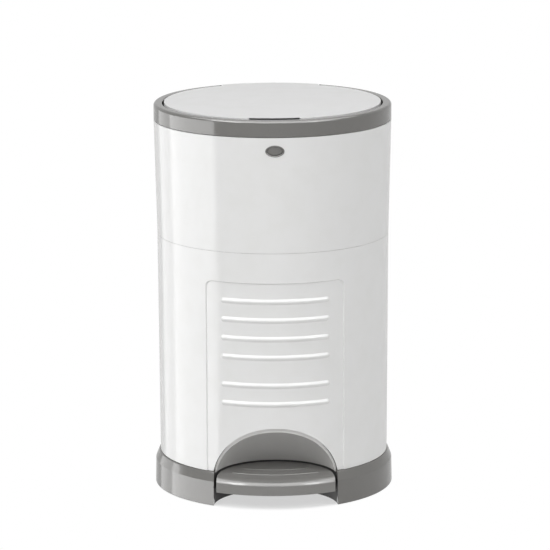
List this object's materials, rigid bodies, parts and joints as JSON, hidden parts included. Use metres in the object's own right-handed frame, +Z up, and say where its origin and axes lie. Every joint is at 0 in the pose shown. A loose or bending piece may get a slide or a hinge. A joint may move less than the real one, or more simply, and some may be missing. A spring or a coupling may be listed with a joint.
{
  "type": "pedal nappy bin",
  "caption": "Round pedal-operated nappy bin with a hinged lid, tilting top ring, sprung drop flaps over a film liner, and a swing-open front door with a ribbed panel.",
  "frame": {"origin": "on the floor, at the centre of the round base", "axes": "+Z up, the pedal and door face -Y, +X is to the right for a viewer in front"},
  "size_m": [0.3, 0.3, 0.4902],
  "materials": {
    "shell": "glossy white moulded shell",
    "lid_top": "white moulded lid, slightly softer gloss",
    "trim": "satin warm grey moulding",
    "recess": "satin grey moulding",
    "inner_white": "plain white moulding",
    "inner_grey": "plain grey moulding",
    "cassette": "thin moulded tray",
    "film": "gathered thin film",
    "foot": "moulded rubber",
    "seal": "soft moulded rubber",
    "steel": "plated steel",
    "lever": "pressed steel, dark coating",
    "spring": "spring steel wire"
  },
  "bodies": {
    "frame": {"base": "trim", "toe_recess": "recess", "rubber_feet": "foot", "base_screws": "steel", "rear_shell": "shell", "door_hinge_pins": "steel", "catch_keeper": "trim", "upper_housing": "shell", "housing_screws": "steel", "refill_tray": "inner_white", "drop_tube": "inner_white", "refill_cassette": "cassette", "film_pack": "film", "cassette_cover": "cassette", "flap_pins": "steel", "flap_springs": "spring", "film_cutter": "inner_grey", "cutter_blade": "steel", "hinge_pin": "steel", "button_bezel": "trim", "button_spring": "spring", "latch_guide": "inner_white", "pivot_pin": "steel", "rod_guides": "inner_white", "rod_cover": "inner_white"},
    "door": {"front_door": "shell", "door_catch": "steel"},
    "top_ring": {"collar": "trim", "collar_funnel": "inner_white"},
    "lid_assembly": {"lid": "lid_top", "lid_liner": "inner_white", "lid_seal": "seal", "lid_hinge_block": "inner_grey", "lid_screws": "steel", "crank_roller": "steel"},
    "button": {"release_button": "trim"},
    "pedal_assembly": {"pedal": "trim", "pedal_lever": "lever", "pedal_screws": "steel"},
    "rod": {"push_rod": "steel", "rod_cap": "inner_grey", "rod_foot": "inner_grey"},
    "flap_left": {"trap_flap_left": "inner_white"},
    "flap_right": {"trap_flap_right": "inner_white"}
  },
  "joints": [
    {"name": "pedal_pivot", "type": "hinge", "parent": "frame", "child": "pedal_assembly", "pos_m": [0, -0.04, 0.016], "axis": [1, 0, 0], "range_deg": [0, 6]},
    {"name": "rod_slide", "type": "slide", "parent": "frame", "child": "rod", "axis": [0, 0, 1], "range_m": [0, 0.0176]},
    {"name": "ring_hinge", "type": "hinge", "parent": "frame", "child": "top_ring", "pos_m": [0, 0.1375, 0.4775], "axis": [-1, 0, 0], "range_deg": [0, 54]},
    {"name": "lid_hinge", "type": "hinge", "parent": "top_ring", "child": "lid_assembly", "pos_m": [0, 0.1375, 0.4775], "axis": [-1, 0, 0], "range_deg": [0, 85]},
    {"name": "door_hinge", "type": "hinge", "parent": "frame", "child": "door", "pos_m": [-0.14006, 0.03753, 0.18], "axis": [0, 0, -1], "range_deg": [0, 110]},
    {"name": "flap_left_hinge", "type": "hinge", "parent": "frame", "child": "flap_left", "pos_m": [-0.0705, 0, 0.3865], "axis": [0, 1, 0], "range_deg": [0, 75], "stiffness_Nm_per_rad": 0.02, "springref_deg": -51.57, "deforming": ["flap_springs"]},
    {"name": "flap_right_hinge", "type": "hinge", "parent": "frame", "child": "flap_right", "pos_m": [0.0705, 0, 0.3865], "axis": [0, -1, 0], "range_deg": [0, 75], "stiffness_Nm_per_rad": 0.02, "springref_deg": -51.57, "deforming": ["flap_springs"]},
    {"name": "button_press", "type": "slide", "parent": "frame", "child": "button", "axis": [0, 1, 0], "range_m": [0, 0.0025], "stiffness_N_per_m": 400, "springref_m": -0.002, "deforming": ["button_spring"]}
  ],
  "couplings": [
    {"joint": "lid_hinge", "follows": "pedal_pivot", "ratio": 14.166},
    {"joint": "rod_slide", "follows": "pedal_pivot", "m_per_rad": 0.168}
  ]
}
